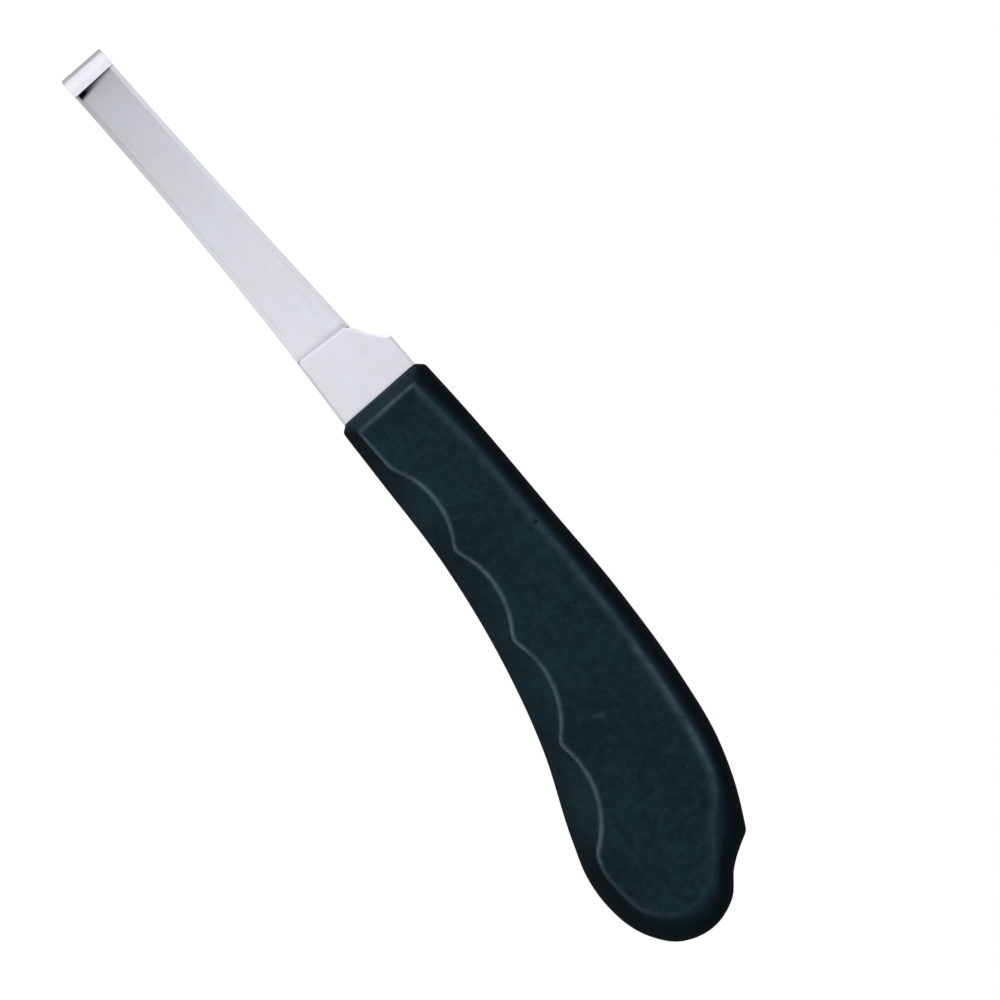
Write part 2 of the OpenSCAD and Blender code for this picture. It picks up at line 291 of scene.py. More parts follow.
def even_profile(profile):
    """The same profile with evenly spaced points, and how far each lies from its last bend."""
    lengths = np.linalg.norm(np.diff(profile, axis=0), axis=1)
    along = np.concatenate([[0], np.cumsum(lengths)])
    wanted = np.linspace(0, along[-1], WALL_RINGS)
    points = np.stack([np.interp(wanted, along, profile[:, k]) for k in range(3)], 1)
    return points, wanted - along[-2]


def hump(distance, reach):
    """1 at distance 0, falling smoothly to 0 at reach."""
    return np.cos(np.clip(distance / reach, -1, 1) * math.pi / 2)**2


def wall_wear_and_highlight(kinds, from_edge, worn_and_lit, scooped):
    """How much wear and painted highlight each point of the wall has, from its distance inside the
    panel's edge, with painted light over the walls of the chamfer and the finger scoops.
    """
    at, inwards, outwards, wall = (np.interp(kinds, SHAPES, values)
                                   for values in (WEAR_AND_HIGHLIGHT_AT, WEAR_AND_HIGHLIGHT_IN, WEAR_AND_HIGHLIGHT_OUT, WALL_PAINTED_LIGHT))
    apart = from_edge - at
    wear_and_highlight = worn_and_lit * hump(apart, np.where(apart > 0, inwards, outwards))
    # Painted light on the walls of the finger scoops and of the chamfer
    wear_and_highlight += (wall + SCOOP_PAINTED_LIGHT * scooped) * (from_edge < 0)
    place, reach, strength = MOUTH_EDGE
    wear_and_highlight += strength * np.maximum(kinds - 1, 0) * hump(from_edge - place, reach)
    wear_and_highlight[-1] = 0
    return wear_and_highlight


def wall_profiles(rim, panel, edge, worn_and_lit, scooped):
    """The wall's rings as points with z from the parting plane, and for each point how much wear
    and painted highlight it has, and how much painted light its wall gets."""
    lean = np.linspace(0, ROUND_START, LEAN_POINTS)[:-1]
    turn = np.linspace(0, math.pi / 2, TURN_POINTS)
    t = np.concatenate([lean, mix(ROUND_START, 1, np.sin(turn))])
    raw, from_edge = [], []
    kinds = np.array([mix(kind, next_kind, k) for kind, next_kind, k in edge])
    margins = np.interp(kinds, SHAPES, MARGIN)
    for a, b, margin, (kind, next_kind, k) in zip(rim, panel, margins, edge):
        s = mix(way_in(kind, t), way_in(next_kind, t), k)
        s = np.append(s, 1 + margin / np.linalg.norm(b - a))
        xy = a + (b - a) * s[:, None]
        points, apart = even_profile(np.column_stack([xy, np.append(t, 1) * HALF_T]))
        raw.append(points)
        from_edge.append(apart)
    raw = np.array(raw).transpose(1, 0, 2)
    by_kind = [soften(raw, passes, closed=False) for passes in EDGE_PASSES]
    share = kinds[None, :, None]
    rounded = mix(by_kind[0], by_kind[1], np.minimum(share, 1))
    rounded = mix(rounded, by_kind[2], np.maximum(share - 1, 0))
    wear_and_highlight = wall_wear_and_highlight(kinds, np.array(from_edge).T, np.array(worn_and_lit), scooped)
    # Painted light: the walls of the finger scoops and of the chamfer take the flat faces' colour
    painted_wall_light = np.tile(np.maximum(scooped, kinds - 1), (WALL_RINGS, 1))
    return rounded, wear_and_highlight, painted_wall_light


# ---------------------------------------------------------------- blade
# A point of the blank is (way along, y). The way along is below 0 behind the shoulder, in
# millimetres, then 0 to 1 over the bow and 1 to 2 round the hook.
SHOULDER_X = MOUTH_X + 16.7
TANG_T = 3.0
BLADE_ROOT_T = 1.9
BLADE_TIP_T = 1.3
BOW_R = 420.0            # radius of the middle surface along the blade
HOOK_R_FINGER = 4.4      # and round the hook, at either edge
HOOK_R_SPINE = 4.2
HOOK_TURN = math.radians(170)
TANG_HALF = TANG_T / 2
EDGE_T = 0.35            # thickness left at the cutting edges
BEVEL_W = 1.1            # width of their bevels
HEEL_BEVEL = (0.7, 0.25)         # width and height
BACK_CHAMFER = 0.2       # on the edges of the underside
TIP_HALF_W = 5.25
ROOT_W = (6.2, 7.2)      # from the middle line to the spine edge and to the finger edge
FLARE = (1.8, 2.4)       # powers of the curves by which these edges widen to that


def hook_r(y):
    return mix(HOOK_R_SPINE, HOOK_R_FINGER, (y + TIP_HALF_W) / (2 * TIP_HALF_W))


def bow_end(y):
    """Angle of the bow where the hook starts, set so that the hook's outermost line is straight."""
    r = hook_r(y)
    return math.asin((TIP_X - BLADE_TIP_T / 2 - r - SHOULDER_X) / (BOW_R - r))


def bend(w, y, lift):
    """A point of the blank, lifted off the middle surface and bent."""
    if w < 0:
        return [SHOULDER_X + w, y, PARTING_Z + lift]
    r, a = hook_r(y), bow_end(y)
    turned = a * min(w, 1) + HOOK_TURN * max(w - 1, 0)
    bow_centre = np.array([SHOULDER_X, PARTING_Z + BOW_R])
    hook_centre = bow_centre + np.array([math.sin(a), -math.cos(a)]) * (BOW_R - r)
    outward = np.array([math.sin(turned), -math.cos(turned)])
    x, z = bow_centre + outward * (BOW_R - lift) if w < 1 else hook_centre + outward * (r - lift)
    return [x, y, z]


CORNER_SHARE = 0.45      # the most of a side that a rounded corner takes up
CORNER_PULL = 0.35       # how far a rounded corner stays out of its own tip
# How much of its sides each corner of the section takes: below, at the edges, over the bevels
BACK_ROUND, EDGE_ROUND, BEVEL_ROUND = 0.08, 0.1, 0.22
SECTION_POINTS = 32
INNER_POINTS = range(16, 24)     # the upper face between the bevels


def rounded_section(corners, reaches):
    """A polygon with each corner replaced by four points, which take up reaches of its sides."""
    points = []
    count = len(corners)
    for k in range(count):
        here = np.array(corners[k], float)
        ends = []
        for other in (corners[k - 1], corners[(k + 1) % count]):
            side = np.array(other, float) - here
            length = np.linalg.norm(side)
            ends.append(here + side / length * min(reaches[k], CORNER_SHARE * length))
        before, after = ends
        points += [before, mix(here, before, CORNER_PULL), mix(here, after, CORNER_PULL), after]
    return points


def blade_ring(spine, finger, above, below, bevel):
    """A ring of the blade between a point on the spine edge and one on the finger edge."""
    w = finger[1] - spine[1]
    back = BACK_CHAMFER
    corners = [(back, -below), (w - back, -below), (w, back - below), (w, above - bevel[1]),
               (w - bevel[0], above), (bevel[0], above), (0, above - bevel[1]), (0, back - below)]
    reaches = [BACK_ROUND] * 3 + [EDGE_ROUND, BEVEL_ROUND, BEVEL_ROUND, EDGE_ROUND, BACK_ROUND]
    ring = []
    for s, lift in rounded_section(corners, reaches):
        p = mix(np.array(spine, float), np.array(finger, float), s / w)
        ring.append(bend(p[0], p[1], lift))
    return np.array(ring)


TANG_LEN = 66.0
TANG_END_R = 4.6
TANG_END_ANGLES = np.radians(np.arange(5, 91, 8.5))
TANG_END_Y = 0.8
NECK = (MOUTH_X - 9, -1.0, 6.2)       # x, middle and half width where the tang is widest
HEEL_BACK_X = MOUTH_X - 5.5
HEEL_SPINE_Y = -11.3
HEEL_FINGER_Y = 8.4
HEEL_BACK_CHAMFER = (0.3, 0.4)


def tang_outline():
    """(x, spine y, finger y) along the tang, from its rounded end to the heel's shoulders."""
    end_x = MOUTH_X - TANG_LEN
    rows = []
    for a in TANG_END_ANGLES:
        half = TANG_END_R * math.sin(a)
        x = end_x + TANG_END_R * (1 - math.cos(a))
        rows.append((x, TANG_END_Y - half, TANG_END_Y + half))
    rows.append((NECK[0], NECK[1] - NECK[2], NECK[1] + NECK[2]))
    back_x, back_y = HEEL_BACK_CHAMFER
    rows.append((HEEL_BACK_X - back_x, HEEL_SPINE_Y + back_y, HEEL_FINGER_Y - back_y))
    rows.append((HEEL_BACK_X, HEEL_SPINE_Y, HEEL_FINGER_Y))
    return rows


CORNER_AT = -9.2         # way along at the heel's rounded corner
CORNER_R = 0.9
CORNER_SWELL = 0.15      # how far it stands out past the straight edge
CORNER_ANGLES = np.radians(np.arange(0, 61, 10))
SWEEP_START = (-8.4, -10.95)
SWEEP_END = (-1.9, -ROOT_W[0])
SWEEP_DEPTH = 0.35
SWEEP_SHARES = np.arange(0.06, 0.97, 0.07)
SHOULDER_SKEW = 1.2      # how much further the shoulder lies along the finger edge
SHOULDER_RUN = 0.7       # length of the slope down to the blade


def heel_finger(w):
    return (w, mix(ROOT_W[1], HEEL_FINGER_Y, min(1, -w / (SHOULDER_X - MOUTH_X))))


def heel_spine():
    """The heel's spine edge: straight, round a corner and up a sweep to the shoulder."""
    points = [(MOUTH_X - SHOULDER_X, HEEL_SPINE_Y)]
    for a in CORNER_ANGLES:
        points.append((CORNER_AT + CORNER_R * math.sin(a),
                       HEEL_SPINE_Y - CORNER_SWELL + CORNER_R * (1 - math.cos(a))))
    points += [tuple(arc_point(SWEEP_START, SWEEP_END, SWEEP_DEPTH, t)) for t in SWEEP_SHARES]
    return points


BOW_STEPS = 40
HOOK_STEPS = 44
LIP = 0.09               # share of the hook's turn that is ground to an edge
LIP_LAND = 0.1           # how much more than its edge's thickness the lip keeps at its end
BOW_LEN = 71.0           # length of the bow, about
SHOULDER_STEPS = 9
SHOULDER_FOOT = 0.07     # gap between the slope's last ring and the blade's first one
SHOULDER_SLOPE = 1.05    # length over which the slope's soft profile falls
ROOT_SHARES = (0, 0.08, 0.17, 0.3, 0.6)  # where the rings after it lie on the way to a square one


def flared(root, power, w):
    return mix(TIP_HALF_W, root, max(0, 1 - w)**power)


def blade_bevel(above, below):
    """Width and height of the bevel that leaves an edge EDGE_T thick."""
    return np.array([BEVEL_W, above + below - BACK_CHAMFER - EDGE_T])


def cutting_ring(w, t, ground):
    """A ring of the blade at w, t thick, with its upper face ground down."""
    above = t / 2 - ground
    spine = (w, -flared(ROOT_W[0], FLARE[0], w))
    finger = (w, flared(ROOT_W[1], FLARE[1], w))
    return blade_ring(spine, finger, above, t / 2, blade_bevel(above, t / 2))


def shoulder_height(down):
    """Height of the upper face over the middle surface, at a distance down the slope."""
    u = min(down / SHOULDER_SLOPE, 1)
    return mix(TANG_HALF, BLADE_ROOT_T / 2, u * u * (3 - 2 * u))


def shoulder_rings():
    """From the heel's full thickness over a soft edge and down a short slope."""
    run = SHOULDER_RUN - SHOULDER_FOOT
    rings = []
    for a in np.linspace(0, 1, SHOULDER_STEPS):
        finger = heel_finger(a * run - SHOULDER_RUN)
        spine = (mix(SWEEP_END[0], -SHOULDER_SKEW - SHOULDER_FOOT, a), -ROOT_W[0])
        above = shoulder_height(a * run)
        below = mix(TANG_HALF, BLADE_ROOT_T / 2, a)
        bevel = mix(np.array(HEEL_BEVEL), blade_bevel(above, below), a)
        rings.append(blade_ring(spine, finger, above, below, bevel))
    return rings


def root_rings():
    """The first millimetres of the blade, from the slanted shoulder to a square ring."""
    square = BOW_LEN / BOW_STEPS
    below = BLADE_ROOT_T / 2
    rings = []
    for share in ROOT_SHARES:
        ends = [mix(-SHOULDER_SKEW, square, share), mix(0, square, share)]
        along = [end if end < 0 else end / BOW_LEN for end in ends]
        above = shoulder_height(SHOULDER_RUN + share * square)
        rings.append(blade_ring((along[0], -ROOT_W[0]), (along[1], ROOT_W[1]), above, below,
                                blade_bevel(above, below)))
    return rings


# Painted shade in the corner at the shoulder's foot: how dark the rings around it are, by their
# number from it
SHOULDER_SHADE = {-2: 0.1, -1: 0.3, 0: 0.5, 1: 0.9, 2: 1.0, 3: 0.4}


def mark_inner_face(blade):
    """Marks the blade's upper face, which is the inner face of the hook."""
    attribute = blade.data.attributes.new("inner", "FLOAT", "POINT")
    inner = [k % SECTION_POINTS in INNER_POINTS for k in range(len(blade.data.vertices))]
    attribute.data.foreach_set("value", np.array(inner, float))


def mark_shoulder_shade(blade, foot):
    """Marks the painted shade line in the corner at the foot of the shoulder."""
    attribute = blade.data.attributes.new("shoulder_shade", "FLOAT", "POINT")
    shoulder_shade = np.zeros(len(blade.data.vertices))
    for ring, strength in SHOULDER_SHADE.items():
        for k in INNER_POINTS:
            shoulder_shade[(foot + ring) * SECTION_POINTS + k] = strength
    attribute.data.foreach_set("value", shoulder_shade)


def build_blade():
    rings = [blade_ring((x - SHOULDER_X, low), (x - SHOULDER_X, high), TANG_HALF, TANG_HALF,
                        HEEL_BEVEL) for x, low, high in tang_outline()]
    rings += [blade_ring(p, heel_finger(p[0]), TANG_HALF, TANG_HALF, HEEL_BEVEL)
              for p in heel_spine()]
    heel_end = len(rings)
    rings += shoulder_rings() + root_rings()
    for k in range(1, BOW_STEPS + 1):
        w = k / BOW_STEPS
        rings.append(cutting_ring(w, mix(BLADE_ROOT_T, BLADE_TIP_T, w), 0))
    for k in range(1, HOOK_STEPS + 1):
        rings.append(cutting_ring(1 + (1 - LIP) * k / HOOK_STEPS, BLADE_TIP_T, 0))
    ground = BLADE_TIP_T - EDGE_T - BACK_CHAMFER - LIP_LAND
    rings.append(cutting_ring(2, BLADE_TIP_T, ground))
    blade = loft("hooked_blade", rings)
    mark_inner_face(blade)
    mark_shoulder_shade(blade, heel_end + SHOULDER_STEPS)
    cut_out(blade, [pin_bore(pin) for pin in TANG_PINS])
    smooth(blade, angle=38)
    return blade


# ---------------------------------------------------------------- shells
BORE_DEEPER = 0.1        # how far a bore goes past each end of its pin
BORE_SIDES = 48


def pin_bore(name):
    """A cylinder a little wider and longer than a CAD pin."""
    low, high = box_mm(name)
    r = (high[0] - low[0]) / 2 + PIN_GAP
    middle = (low + high) / 2
    rings = []
    for z in (low[2] - BORE_DEEPER, high[2] + BORE_DEEPER):
        rings.append([(middle[0] + r * math.cos(a), middle[1] + r * math.sin(a), z)
                      for a in np.linspace(0, 2 * math.pi, BORE_SIDES + 1)[:-1]])
    return loft("bore_" + name, rings)


def tang_room():
    """The slot for the tang and the heel, a little larger than they are."""
    rows = tang_outline()
    past_mouth = 2
    rows.append((MOUTH_X + past_mouth, HEEL_SPINE_Y, HEEL_FINGER_Y))
    rows[0] = (rows[0][0] - FIT_GAP, rows[0][1], rows[0][2])
    side = [(x, low - FIT_GAP) for x, low, high in rows]
    side += [(x, high + FIT_GAP) for x, low, high in reversed(rows)]
    half = TANG_HALF + FIT_GAP
    rings = [[(x, y, PARTING_Z + z) for x, y in side] for z in (-half, half)]
    return loft("tang_room", rings)


def build_shell(name, up):
    """One shell: up is 1 for the upper one and -1 for its mirror image below the seam."""
    rim, panel, edge, worn_and_lit, scooped = outline()
    wall, wear_and_highlight, painted_wall_light = wall_profiles(rim, panel, edge, worn_and_lit, scooped)
    inward = (panel - rim) / np.linalg.norm(panel - rim, axis=1)[:, None]
    groove = np.column_stack([wall[0][:, :2] + inward * SEAM, wall[0][:, 2]])
    lip = wall[0] + np.array([0, 0, SEAM])
    above_seam = 2
    rings = np.concatenate([[groove, lip], wall[above_seam:]])
    rings[:, :, 2] = PARTING_Z + up * rings[:, :, 2]
    if up < 0:
        rings, wear_and_highlight, painted_wall_light = rings[:, ::-1], wear_and_highlight[:, ::-1], painted_wall_light[:, ::-1]
    shell = loft(name, rings)
    for mark, values in (("wear_and_highlight", wear_and_highlight), ("painted_wall_light", painted_wall_light)):
        attribute = shell.data.attributes.new(mark, "FLOAT", "POINT")
        attribute.data.foreach_set("value", values.ravel())
    cut_out(shell, [tang_room()] + [pin_bore(pin) for pin in TANG_PINS + (TAIL_DOWEL,)])
    smooth(shell, angle=50)
    return shell


# ---------------------------------------------------------------- materials
class Nodes:
    """A short way to write a node tree."""

    def __init__(self, name):
        self.material = bpy.data.materials.new(name)
        self.material.use_nodes = True
        self.tree = self.material.node_tree
        self.shader = self.tree.nodes["Principled BSDF"]
        self.place = self.add("ShaderNodeTexCoord").outputs["Object"]

    def add(self, kind, **settings):
        node = self.tree.nodes.new(kind)
        for key, value in settings.items():
            setattr(node, key, value)
        return node

    def feed(self, socket, value):
        """Links an output into the socket, or sets its number."""
        if isinstance(value, bpy.types.NodeSocket):
            self.tree.links.new(value, socket)
        else:
            socket.default_value = value

    def math(self, operation, *values, clamp=False):
        node = self.add("ShaderNodeMath", operation=operation, use_clamp=clamp)
        for socket, value in zip(node.inputs, values):
            self.feed(socket, value)
        return node.outputs[0]

    def vector(self, operation, *values, output=0):
        node = self.add("ShaderNodeVectorMath", operation=operation)
        for socket, value in zip(node.inputs, values):
            self.feed(socket, value)
        return node.outputs[output]

    def split(self, vector):
        node = self.add("ShaderNodeSeparateXYZ")
        self.feed(node.inputs[0], vector)
        return list(node.outputs)

    def stretched(self, x, y, z):
        """The place on the object times a factor along each axis, per metre."""
        return self.vector("MULTIPLY", self.place, (x, y, z))

    def attribute(self, name):
        return self.add("ShaderNodeAttribute", attribute_name=name).outputs["Fac"]

    def noise(self, place, detail=2.0, roughness=0.5):
        node = self.add("ShaderNodeTexNoise")
        self.feed(node.inputs["Vector"], place)
        node.inputs["Scale"].default_value = 1
        node.inputs["Detail"].default_value = detail
        node.inputs["Roughness"].default_value = roughness
        return node.outputs["Fac"]

    def range(self, value, low, high, to_low=0.0, to_high=1.0):
        node = self.add("ShaderNodeMapRange")
        for socket, number in zip(node.inputs, (value, low, high, to_low, to_high)):
            self.feed(socket, number)
        return node.outputs[0]

    def blend(self, factor, a, b):
        node = self.add("ShaderNodeMix", data_type="RGBA")
        self.feed(node.inputs["Factor"], factor)
        self.feed(node.inputs["A"], a)
        self.feed(node.inputs["B"], b)
        return node.outputs["Result"]

    def weighted(self, *parts):
        """The sum of some values, each times its weight."""
        values = [self.math("MULTIPLY", value, weight) for value, weight in parts]
        total = values[0]
        for value in values[1:]:
            total = self.math("ADD", total, value)
        return total

    def bump(self, height, strength, distance):
        node = self.add("ShaderNodeBump")
        self.feed(node.inputs["Height"], height)
        node.inputs["Strength"].default_value = strength
        node.inputs["Distance"].default_value = distance
        return node.outputs[0]

    def stroke(self, start, end, width, core):
        """A short line between two points in millimetres on the panel: 1 up to core times the
        width from it, and falling to 0 at the width."""
        a = Vector((start[0] * MM, start[1] * MM, 0))
        way = Vector((end[0] * MM, end[1] * MM, 0)) - a
        flat = self.vector("MULTIPLY", self.place, (1, 1, 0))
        offset = self.vector("SUBTRACT", flat, a)
        along = self.vector("DOT_PRODUCT", offset, way, output=1)
        share = self.math("DIVIDE", along, way.length_squared, clamp=True)
        node = self.add("ShaderNodeVectorMath", operation="SCALE")
        node.inputs[0].default_value = way
        self.feed(node.inputs["Scale"], share)
        apart = self.vector("DISTANCE", offset, node.outputs[0], output=1)
        return self.range(apart, core * width * MM, width * MM, 1, 0)


# Painted shadow under the hook's lip: the slanted line it starts at, how it fades and where it
# stops
HOOK_SHADOW_LINE = (Vector((TIP_X - 5.4, 4.7)), Vector((TIP_X - 4.3, -3.7)))
HOOK_SHADOW_FADE = (-4.6, 3.0)     # y over which it fades towards the spine edge
HOOK_SHADOW_TOP = (PARTING_Z + 11, PARTING_Z + 12.5)
HOOK_SHADOW_EDGE = (-0.35, 0.45)   # how far before and beyond its line it sets in


def painted_hook_shadow(n):
    """1 on the painted shadow under the hook's lip, on its inner face beyond a slanted line."""
    inner = n.attribute("inner")
    way = (HOOK_SHADOW_LINE[0] - HOOK_SHADOW_LINE[1]).normalized()
    across = Vector((way.y, -way.x, 0))
    start = across.xy.dot(HOOK_SHADOW_LINE[0]) * MM
    beyond = n.range(n.vector("DOT_PRODUCT", n.place, across, output=1),
                     start + HOOK_SHADOW_EDGE[0] * MM, start + HOOK_SHADOW_EDGE[1] * MM)
    x, y, z = n.split(n.place)
    fade = n.range(y, HOOK_SHADOW_FADE[0] * MM, HOOK_SHADOW_FADE[1] * MM)
    low = n.range(z, HOOK_SHADOW_TOP[0] * MM, HOOK_SHADOW_TOP[1] * MM, 1, 0)
    inner = n.range(inner, 0.4, 0.9)
    return n.math("MULTIPLY", n.math("MULTIPLY", inner, beyond), n.math("MULTIPLY", fade, low))


WARM_FILM = (1.01, 0.95, 0.98)   # what thin films on the steel do to its tint
COLD_FILM = (0.95, 0.985, 1.04)
# Colour of the painted shade line at the shoulder's foot
SHOULDER_SHADE_GREY = (0.25, 0.25, 0.28)
# Colour of the painted shadow under the hook's lip
HOOK_SHADOW_BLACK = (0.006, 0.005, 0.005)


def tinted(tint, factors):
    return tuple(min(1, c * f) for c, f in zip(tint, factors)) + (1,)


def satin_steel(name, grain, tint):
    """Ground and tumbled stainless steel with faint lines, finest across the grain, and on the
    blade a painted shade line at the shoulder's foot and a painted shadow under the hook's lip.
    """
    n = Nodes(name)
    clouds = n.noise(n.stretched(60, 90, 60), detail=3, roughness=0.6)
    lines = n.noise(n.stretched(*grain), detail=4, roughness=0.7)
    fine = n.noise(n.stretched(2400, 2400, 2400), detail=2)
    tone = n.weighted((clouds, 0.7), (lines, 0.3))
    base = n.blend(n.range(tone, 0.35, 0.65), tinted(tint, (0.9,) * 3), tinted(tint, (1.02,) * 3))
    film = n.noise(n.stretched(110, 150, 110), detail=2)
    base = n.blend(n.range(film, 0.52, 0.72, 0, 0.7), base, tinted(tint, WARM_FILM))
    base = n.blend(n.range(film, 0.46, 0.3, 0, 0.7), base, tinted(tint, COLD_FILM))
    # Painted shade: a grey line in the corner at the shoulder's foot
    base = n.blend(n.math("MULTIPLY", n.attribute("shoulder_shade"), 0.5), base, (*SHOULDER_SHADE_GREY, 1))
    # Painted shadow: black under the hook's lip
    base = n.blend(painted_hook_shadow(n), base, (*HOOK_SHADOW_BLACK, 1))
    n.feed(n.shader.inputs["Base Color"], base)
    n.shader.inputs["Metallic"].default_value = 1
    n.feed(n.shader.inputs["Roughness"], n.range(tone, 0.3, 0.7, 0.26, 0.34))
    height = n.weighted((lines, 0.7), (fine, 0.3))
    n.feed(n.shader.inputs["Normal"], n.bump(height, 0.16, 0.04 * MM))
    return n.material


FACE_DEEP = (0.0075, 0.023, 0.036)       # the flat faces vary between these two
FACE_PALE = (0.0165, 0.047, 0.0665)
FACE_GREEN = (0.0115, 0.042, 0.0425)     # and take on this in blotches
# Painted shade: the slopes of the rounded wall are darker than the flat faces
SLOPE_SHADE = (0.006, 0.014, 0.019)        # on the slopes of the rounded wall
# Colour of the wear and painted highlight along the panel's edges, and of the painted light on the
# scoop and chamfer walls
WORN_AND_LIT = (0.128, 0.207, 0.246)
SCUFFED = (0.1, 0.17, 0.185)
PIT_BLACK = (0.0012, 0.002, 0.003)
SHEEN_TINT = (0.6, 0.92, 1)
# Marks seen from above: both ends, width and the share of the width that is at full strength
SCUFF = ((-15.3, 12.1), (-17.5, 8), 0.9, 0)
SCUFF_END = ((-17.1, 8.9), (-17.7, 7.5), 0.75, 0)
SPECKS = (((21.5, -8.6), (21.6, -8.3), 0.55, 0.4),
          ((3.3, -3.5), (3.4, -3.3), 0.35, 0.4),
          ((-40.1, 5.4), (-40, 5.5), 0.3, 0.4))


def moulded_nylon(name):
    """Dark blue-green plastic with a fine moulded grain. Painted light makes the flat faces and the
    walls of the finger scoops and the chamfer paler than the slopes, which keep a painted shade,
    and wear with a painted highlight runs along the flat panel's edges."""
    n = Nodes(name)
    clouds = n.noise(n.stretched(45, 45, 45), detail=4, roughness=0.6)
    mottle = n.noise(n.stretched(420, 420, 420), detail=3, roughness=0.65)
    speckle = n.noise(n.stretched(1100, 1100, 1100), detail=3, roughness=0.7)
    grain = n.noise(n.stretched(2600, 2600, 2600), detail=3, roughness=0.6)
    swirl = n.noise(n.stretched(230, 230, 230), detail=5, roughness=0.7)
    normal = n.add("ShaderNodeNewGeometry").outputs["Normal"]
    facing = n.math("ABSOLUTE", n.vector("DOT_PRODUCT", normal, (0, 0, 1), output=1))
    tone = n.weighted((clouds, 0.35), (mottle, 0.4), (speckle, 0.25))
    face = n.blend(n.range(tone, 0.41, 0.59), (*FACE_DEEP, 1), (*FACE_PALE, 1))
    face = n.blend(n.range(mottle, 0.52, 0.7, 0, 0.5), face, (*FACE_GREEN, 1))
    # Painted light: faces that point up or down, and the walls marked as lit, take the paler face
    # colour, and the slopes keep the painted shade
    painted_light = n.math("MAXIMUM", n.range(facing, 0.88, 0.995), n.attribute("painted_wall_light"))
    base = n.blend(painted_light, (*SLOPE_SHADE, 1), face)
    patchy = n.range(swirl, 0.35, 0.65, 0.35, 1.1)
    # Wear and painted highlight along the panel's edges, and painted light on the scoop and chamfer
    # walls, made patchy
    worn_and_lit = n.math("MULTIPLY", n.attribute("wear_and_highlight"), patchy, clamp=True)
    base = n.blend(worn_and_lit, base, (*WORN_AND_LIT, 1))
    scuff = n.weighted((n.stroke(*SCUFF), 0.35), (n.stroke(*SCUFF_END), 0.6))
    scuff = n.math("MULTIPLY", scuff, n.range(swirl, 0.4, 0.6, 0.2, 0.55))
    base = n.blend(scuff, base, (*SCUFFED, 1))
    specks = n.stroke(*SPECKS[0])
    for speck in SPECKS[1:]:
        specks = n.math("MAXIMUM", specks, n.stroke(*speck))
    base = n.blend(n.math("MULTIPLY", specks, 0.8), base, (*PIT_BLACK, 1))
    n.feed(n.shader.inputs["Base Color"], base)
    n.shader.inputs["Specular IOR Level"].default_value = 0.3
    n.shader.inputs["Specular Tint"].default_value = (*SHEEN_TINT, 1)
    n.feed(n.shader.inputs["Roughness"], n.range(n.math("ADD", swirl, clouds), 0.7, 1.3, 0.4, 0.5))
    height = n.weighted((grain, 0.5), (mottle, 0.5), (specks, -1.5))
    n.feed(n.shader.inputs["Normal"], n.bump(height, 0.35, 0.08 * MM))
    return n.material


def floor_material():
    """A white table top that is evenly lit from inside, so that it stays white everywhere."""
    n = Nodes("white_table")
    paper = n.noise(n.stretched(3, 3, 3), detail=2)
    n.feed(n.shader.inputs["Base Color"], n.blend(paper, (0.8, 0.8, 0.8, 1), (0.82, 0.82, 0.82, 1)))
    n.shader.inputs["Roughness"].default_value = 0.9
    n.shader.inputs["Specular IOR Level"].default_value = 0
    n.shader.inputs["Emission Color"].default_value = (1, 1, 1, 1)
    n.shader.inputs["Emission Strength"].default_value = 0.97
    return n.material


def paint(obj, material):
    obj.data.materials.clear()
    obj.data.materials.append(material)


# ---------------------------------------------------------------- pieces
steel = satin_steel("satin_steel", grain=(40, 1500, 1500), tint=(0.785, 0.79, 0.845))
turned_steel = satin_steel("turned_steel", grain=(1500, 1500, 60), tint=(0.6, 0.6, 0.61))
nylon = moulded_nylon("moulded_nylon")


def add_piece(piece, cad_name, material):
    """Lets a piece stand for a CAD node."""
    paint(piece, material)
    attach(piece, "root")
    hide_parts(cad_name)
    return piece


blade_piece = add_piece(build_blade(), "blade", steel)
shell_pieces = [
    add_piece(build_shell("grip_shell_upper", 1), "handle_top_shell", nylon),
    add_piece(build_shell("grip_shell_lower", -1), "handle_bottom_shell", nylon),
]
for pin_name in TANG_PINS + (TAIL_DOWEL,):
    paint(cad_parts[pin_name], turned_steel)


# ---------------------------------------------------------------- table and backdrop
def backdrop():
    """A round white table top that sweeps up all round into a dome."""
    flat_r, sweep_r, dome_h, sides = 3.0, 2.5, 3.0, 96
    profile = [(r, 0.0) for r in (0.5, 1.2, 2.0, flat_r)]
    profile += [(flat_r + sweep_r * math.sin(a), sweep_r * (1 - math.cos(a)))
                for a in np.radians(np.arange(7.5, 91, 7.5))]
    profile += [((flat_r + sweep_r) * math.cos(a), sweep_r + dome_h * math.sin(a))
                for a in np.radians(np.arange(10, 90, 10))]
    points = [(0, 0, 0)]
    for r, z in profile:
        points += [(r * math.cos(a), r * math.sin(a), z)
                   for a in np.linspace(0, 2 * math.pi, sides + 1)[:-1]]
    points.append((0, 0, sweep_r + dome_h))
    faces = [(0, 1 + j, 1 + (j + 1) % sides) for j in range(sides)]
    for k in range(len(profile) - 1):
        low = 1 + k * sides
        faces += [(low + j, low + sides + j, low + sides + (j + 1) % sides, low + (j + 1) % sides)
                  for j in range(sides)]
    top = 1 + (len(profile) - 1) * sides
    faces += [(top + j, len(points) - 1, top + (j + 1) % sides) for j in range(sides)]
    floor = mesh_object("white_table", np.array(points) / MM, faces)
    floor.data.shade_smooth()
    paint(floor, floor_material())
    floor.visible_diffuse = False
    floor.visible_glossy = False
    floor.visible_shadow = False


# ---------------------------------------------------------------- camera and lights
CAMERA_HEIGHT = 0.9      # above the seam, in metres
FIELD = 0.21             # width of the picture at the seam
TURN = math.radians(-131.35)
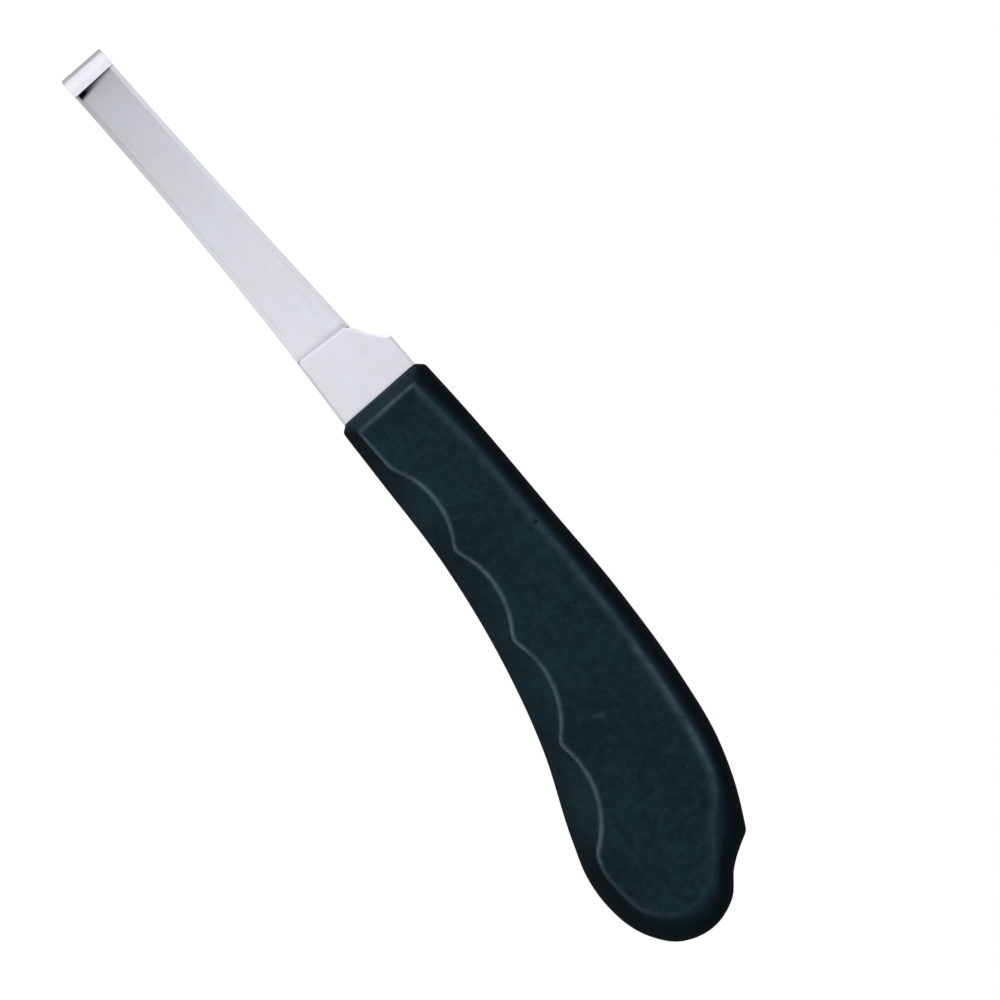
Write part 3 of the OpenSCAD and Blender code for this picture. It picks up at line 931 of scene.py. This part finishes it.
# The middle of the picture, from the middle of the object's box
PICTURE_MIDDLE = Vector((-0.01415, -0.01605, 0))
object_middle = (cad_low + cad_high) / 2
target = Vector((object_middle.x, object_middle.y, PARTING_Z * MM)) + PICTURE_MIDDLE


def make_camera():
    data = bpy.data.cameras.new("camera")
    data.sensor_width = 36
    data.lens = data.sensor_width * CAMERA_HEIGHT / FIELD
    data.clip_end = 20
    camera = bpy.data.objects.new("camera", data)
    camera.location = target + Vector((0, 0, CAMERA_HEIGHT))
    camera.rotation_euler = (0, 0, TURN)
    bpy.context.scene.collection.objects.link(camera)
    bpy.context.scene.camera = camera


def lit_together(name, lit_pieces):
    """A collection of pieces that lights can be limited to."""
    group = bpy.data.collections.new(name)
    for piece in lit_pieces:
        group.objects.link(piece)
    return group


def softbox(name, place, size, radiance, only, diffuse=True, glossy=True):
    """A rectangular light at a place in metres from the target, which lights only the pieces of a
    collection. It faces the target, or straight up or down when it is above or below it."""
    data = bpy.data.lights.new(name, "AREA")
    data.shape = "RECTANGLE"
    data.size, data.size_y = size
    data.energy = radiance * size[0] * size[1] * math.pi
    light = bpy.data.objects.new(name, data)
    light.location = target + Vector(place)
    if abs(place[0]) + abs(place[1]) > abs(place[2]):
        light.rotation_euler = (-Vector(place)).to_track_quat("-Z", "Y").to_euler()
    elif place[2] < 0:
        light.rotation_euler = (math.pi, 0, 0)
    light.visible_diffuse = diffuse
    light.visible_glossy = glossy
    bpy.context.scene.collection.objects.link(light)
    light.light_linking.receiver_collection = only


def make_world():
    world = bpy.data.worlds.new("room")
    world.use_nodes = True
    background = world.node_tree.nodes["Background"]
    background.inputs["Color"].default_value = (1, 1, 1, 1)
    background.inputs["Strength"].default_value = 0.05
    bpy.context.scene.world = world


backdrop()
make_camera()
make_world()
steel_only = lit_together("steel_only", [blade_piece])
grip_only = lit_together("grip_only", shell_pieces)
softbox("overhead", (0.7, 0, 1.6), (1.9, 2.9), 1.0, steel_only)
softbox("screen_spine", (0.72, -1.6, 0.2), (2.35, 2.7), 0.92, steel_only)
softbox("screen_finger", (0.92, 1.6, 0.2), (2.2, 2.7), 1.04, steel_only)
softbox("screen_butt", (-1.5, 0, 0.4), (1.5, 1.6), 0.6, steel_only)
softbox("corner_spine", (-1.1, -1.3, 0.4), (1.3, 1.6), 0.6, steel_only)
softbox("corner_finger", (-1.1, 1.3, 0.4), (1.3, 1.6), 0.6, steel_only)
softbox("screen_hook", (1.6, 0, 0.4), (2.4, 2.0), 1.08, steel_only)
softbox("table_glow", (0.6, 0, -1), (4.0, 2.8), 0.45, steel_only)
softbox("grip_key", (0.7, 0, 1.6), (1.9, 2.6), 1.0, grip_only, glossy=False)
softbox("grip_side", (-0.1, 1.3, 1.1), (1.0, 0.5), 2.5, grip_only, glossy=False)
softbox("sheen_spine", (0, -1.4, 0.9), (2.4, 1.3), 0.15, grip_only, diffuse=False)
softbox("sheen_finger", (0, 1.4, 0.9), (2.4, 1.3), 0.5, grip_only, diffuse=False)
softbox("sheen_butt", (-1.4, 0, 0.9), (2.4, 1.3), 0.2, grip_only, diffuse=False)
softbox("sheen_mouth", (1.4, 0, 0.9), (2.4, 1.3), 0.6, grip_only, diffuse=False)
bpy.context.scene.view_settings.view_transform = "Standard"
